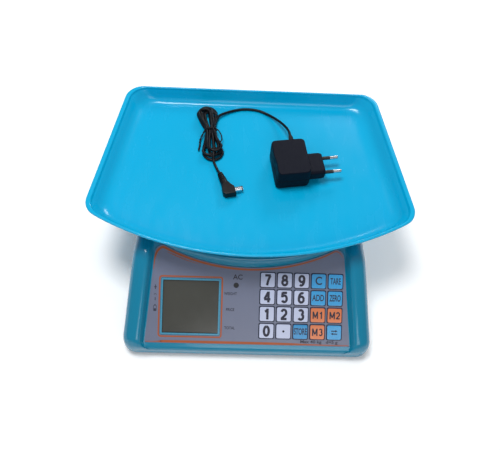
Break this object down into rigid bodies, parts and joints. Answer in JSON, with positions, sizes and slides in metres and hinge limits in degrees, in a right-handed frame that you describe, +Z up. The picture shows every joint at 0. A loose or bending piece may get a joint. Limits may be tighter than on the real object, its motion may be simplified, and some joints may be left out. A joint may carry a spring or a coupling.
{
  "type": "counter weighing scale",
  "caption": "Price-computing counter scale with a wide dished weighing pan, a sloping keypad and display, levelling feet and a plug-in mains adapter.",
  "frame": {"origin": "middle of the scale in plan, on the surface that the feet stand on", "axes": "+X to the right and +Y to the back for someone at the keypad, +Z up"},
  "size_m": [0.346, 0.29, 0.116],
  "materials": {
    "pan": "gloss",
    "housing": "gloss",
    "overlay": "gloss film",
    "lens": "clear",
    "lcd": "satin",
    "circuit_board": "satin",
    "black_plastic": "satin",
    "alloy": "satin",
    "steel": "satin",
    "rubber": "matt",
    "battery_case": "matt",
    "wire": "satin",
    "adapter_plastic": "satin",
    "plated_metal": "polished",
    "cable_pvc": "satin",
    "key_white": "gloss",
    "key_blue": "gloss",
    "key_orange": "gloss"
  },
  "bodies": {
    "housing": {"lower_housing": "housing", "upper_housing": "housing", "panel_overlay": "overlay", "display_lens": "lens", "lcd_panel": "lcd", "rear_display_lens": "lens", "rear_lcd_panel": "lcd", "main_board": "circuit_board", "keypad_board": "circuit_board", "power_led": "black_plastic", "load_cell": "alloy", "load_cell_bolts": "steel", "battery": "battery_case", "wiring_harness": "wire", "switch_body": "black_plastic", "dc_jack": "black_plastic", "housing_screws": "steel"},
    "platform": {"platform_frame": "alloy", "platform_bolts": "steel", "support_pads": "rubber"},
    "pan": {"weighing_tray": "pan"},
    "power_adapter": {"adapter_shell": "adapter_plastic", "adapter_pins": "plated_metal", "strain_relief": "cable_pvc", "adapter_lead": "cable_pvc", "lead_hank": "cable_pvc", "lead_tie": "cable_pvc", "lead_tail": "cable_pvc", "dc_plug_body": "cable_pvc", "dc_plug_barrel": "plated_metal"},
    "rocker": {"power_rocker": "black_plastic"},
    "battery_cover": {"battery_door": "housing"},
    "key_0": {"key_0": "key_white"},
    "key_point": {"key_point": "key_white"},
    "key_store": {"key_store": "key_blue"},
    "key_m3": {"key_m3": "key_orange"},
    "key_change": {"key_change": "key_blue"},
    "key_1": {"key_1": "key_white"},
    "key_2": {"key_2": "key_white"},
    "key_3": {"key_3": "key_white"},
    "key_m1": {"key_m1": "key_orange"},
    "key_m2": {"key_m2": "key_orange"},
    "key_4": {"key_4": "key_white"},
    "key_5": {"key_5": "key_white"},
    "key_6": {"key_6": "key_white"},
    "key_add": {"key_add": "key_blue"},
    "key_zero": {"key_zero": "key_blue"},
    "key_7": {"key_7": "key_white"},
    "key_8": {"key_8": "key_white"},
    "key_9": {"key_9": "key_white"},
    "key_clear": {"key_clear": "key_blue"},
    "key_tare": {"key_tare": "key_blue"},
    "foot_pad_front_left": {"foot_pad_front_left": "rubber"},
    "foot_screw_front_left": {"foot_screw_front_left": "black_plastic"},
    "foot_pad_front_right": {"foot_pad_front_right": "rubber"},
    "foot_screw_front_right": {"foot_screw_front_right": "black_plastic"},
    "foot_pad_back_right": {"foot_pad_back_right": "rubber"},
    "foot_screw_back_right": {"foot_screw_back_right": "black_plastic"},
    "foot_pad_back_left": {"foot_pad_back_left": "rubber"},
    "foot_screw_back_left": {"foot_screw_back_left": "black_plastic"}
  },
  "joints": [
    {"name": "platform_press", "type": "slide", "parent": "housing", "child": "platform", "axis": [0, 0, -1], "range_m": [0, 0.0008], "stiffness_N_per_m": 390000, "deforming": ["load_cell"]},
    {"name": "pan_lift", "type": "slide", "parent": "platform", "child": "pan", "axis": [0, 0, 1], "range_m": [0, 0.15]},
    {"name": "adapter_lift", "type": "slide", "parent": "pan", "child": "power_adapter", "axis": [0, 0, 1], "range_m": [0, 0.12]},
    {"name": "power_switch", "type": "hinge", "parent": "housing", "child": "rocker", "pos_m": [0.085, 0.12, 0.03], "axis": [-1, 0, 0], "range_deg": [0, 20]},
    {"name": "battery_cover_slide", "type": "slide", "parent": "housing", "child": "battery_cover", "axis": [0, 1, 0], "range_m": [0, 0.066]},
    {"name": "key_0_press", "type": "slide", "parent": "housing", "child": "key_0", "axis": [0, 0.5, -0.866], "range_m": [0, 0.0006], "stiffness_N_per_m": 1500},
    {"name": "key_point_press", "type": "slide", "parent": "housing", "child": "key_point", "axis": [0, 0.5, -0.866], "range_m": [0, 0.0006], "stiffness_N_per_m": 1500},
    {"name": "key_store_press", "type": "slide", "parent": "housing", "child": "key_store", "axis": [0, 0.5, -0.866], "range_m": [0, 0.0006], "stiffness_N_per_m": 1500},
    {"name": "key_m3_press", "type": "slide", "parent": "housing", "child": "key_m3", "axis": [0, 0.5, -0.866], "range_m": [0, 0.0006], "stiffness_N_per_m": 1500},
    {"name": "key_change_press", "type": "slide", "parent": "housing", "child": "key_change", "axis": [0, 0.5, -0.866], "range_m": [0, 0.0006], "stiffness_N_per_m": 1500},
    {"name": "key_1_press", "type": "slide", "parent": "housing", "child": "key_1", "axis": [0, 0.5, -0.866], "range_m": [0, 0.0006], "stiffness_N_per_m": 1500},
    {"name": "key_2_press", "type": "slide", "parent": "housing", "child": "key_2", "axis": [0, 0.5, -0.866], "range_m": [0, 0.0006], "stiffness_N_per_m": 1500},
    {"name": "key_3_press", "type": "slide", "parent": "housing", "child": "key_3", "axis": [0, 0.5, -0.866], "range_m": [0, 0.0006], "stiffness_N_per_m": 1500},
    {"name": "key_m1_press", "type": "slide", "parent": "housing", "child": "key_m1", "axis": [0, 0.5, -0.866], "range_m": [0, 0.0006], "stiffness_N_per_m": 1500},
    {"name": "key_m2_press", "type": "slide", "parent": "housing", "child": "key_m2", "axis": [0, 0.5, -0.866], "range_m": [0, 0.0006], "stiffness_N_per_m": 1500},
    {"name": "key_4_press", "type": "slide", "parent": "housing", "child": "key_4", "axis": [0, 0.5, -0.866], "range_m": [0, 0.0006], "stiffness_N_per_m": 1500},
    {"name": "key_5_press", "type": "slide", "parent": "housing", "child": "key_5", "axis": [0, 0.5, -0.866], "range_m": [0, 0.0006], "stiffness_N_per_m": 1500},
    {"name": "key_6_press", "type": "slide", "parent": "housing", "child": "key_6", "axis": [0, 0.5, -0.866], "range_m": [0, 0.0006], "stiffness_N_per_m": 1500},
    {"name": "key_add_press", "type": "slide", "parent": "housing", "child": "key_add", "axis": [0, 0.5, -0.866], "range_m": [0, 0.0006], "stiffness_N_per_m": 1500},
    {"name": "key_zero_press", "type": "slide", "parent": "housing", "child": "key_zero", "axis": [0, 0.5, -0.866], "range_m": [0, 0.0006], "stiffness_N_per_m": 1500},
    {"name": "key_7_press", "type": "slide", "parent": "housing", "child": "key_7", "axis": [0, 0.5, -0.866], "range_m": [0, 0.0006], "stiffness_N_per_m": 1500},
    {"name": "key_8_press", "type": "slide", "parent": "housing", "child": "key_8", "axis": [0, 0.5, -0.866], "range_m": [0, 0.0006], "stiffness_N_per_m": 1500},
    {"name": "key_9_press", "type": "slide", "parent": "housing", "child": "key_9", "axis": [0, 0.5, -0.866], "range_m": [0, 0.0006], "stiffness_N_per_m": 1500},
    {"name": "key_clear_press", "type": "slide", "parent": "housing", "child": "key_clear", "axis": [0, 0.5, -0.866], "range_m": [0, 0.0006], "stiffness_N_per_m": 1500},
    {"name": "key_tare_press", "type": "slide", "parent": "housing", "child": "key_tare", "axis": [0, 0.5, -0.866], "range_m": [0, 0.0006], "stiffness_N_per_m": 1500},
    {"name": "foot_height_front_left", "type": "slide", "parent": "housing", "child": "foot_pad_front_left", "axis": [0, 0, -1], "range_m": [0, 0.005]},
    {"name": "foot_turn_front_left", "type": "hinge", "parent": "foot_pad_front_left", "child": "foot_screw_front_left", "pos_m": [-0.108, -0.118, 0.005], "axis": [0, 0, 1], "range_deg": [0, 1440]},
    {"name": "foot_height_front_right", "type": "slide", "parent": "housing", "child": "foot_pad_front_right", "axis": [0, 0, -1], "range_m": [0, 0.005]},
    {"name": "foot_turn_front_right", "type": "hinge", "parent": "foot_pad_front_right", "child": "foot_screw_front_right", "pos_m": [0.108, -0.118, 0.005], "axis": [0, 0, 1], "range_deg": [0, 1440]},
    {"name": "foot_height_back_right", "type": "slide", "parent": "housing", "child": "foot_pad_back_right", "axis": [0, 0, -1], "range_m": [0, 0.005]},
    {"name": "foot_turn_back_right", "type": "hinge", "parent": "foot_pad_back_right", "child": "foot_screw_back_right", "pos_m": [0.103, 0.098, 0.005], "axis": [0, 0, 1], "range_deg": [0, 1440]},
    {"name": "foot_height_back_left", "type": "slide", "parent": "housing", "child": "foot_pad_back_left", "axis": [0, 0, -1], "range_m": [0, 0.005]},
    {"name": "foot_turn_back_left", "type": "hinge", "parent": "foot_pad_back_left", "child": "foot_screw_back_left", "pos_m": [-0.103, 0.098, 0.005], "axis": [0, 0, 1], "range_deg": [0, 1440]}
  ],
  "couplings": [
    {"joint": "foot_height_front_left", "follows": "foot_turn_front_left", "m_per_rad": 0.00019894},
    {"joint": "foot_height_front_right", "follows": "foot_turn_front_right", "m_per_rad": 0.00019894},
    {"joint": "foot_height_back_right", "follows": "foot_turn_back_right", "m_per_rad": 0.00019894},
    {"joint": "foot_height_back_left", "follows": "foot_turn_back_left", "m_per_rad": 0.00019894}
  ]
}
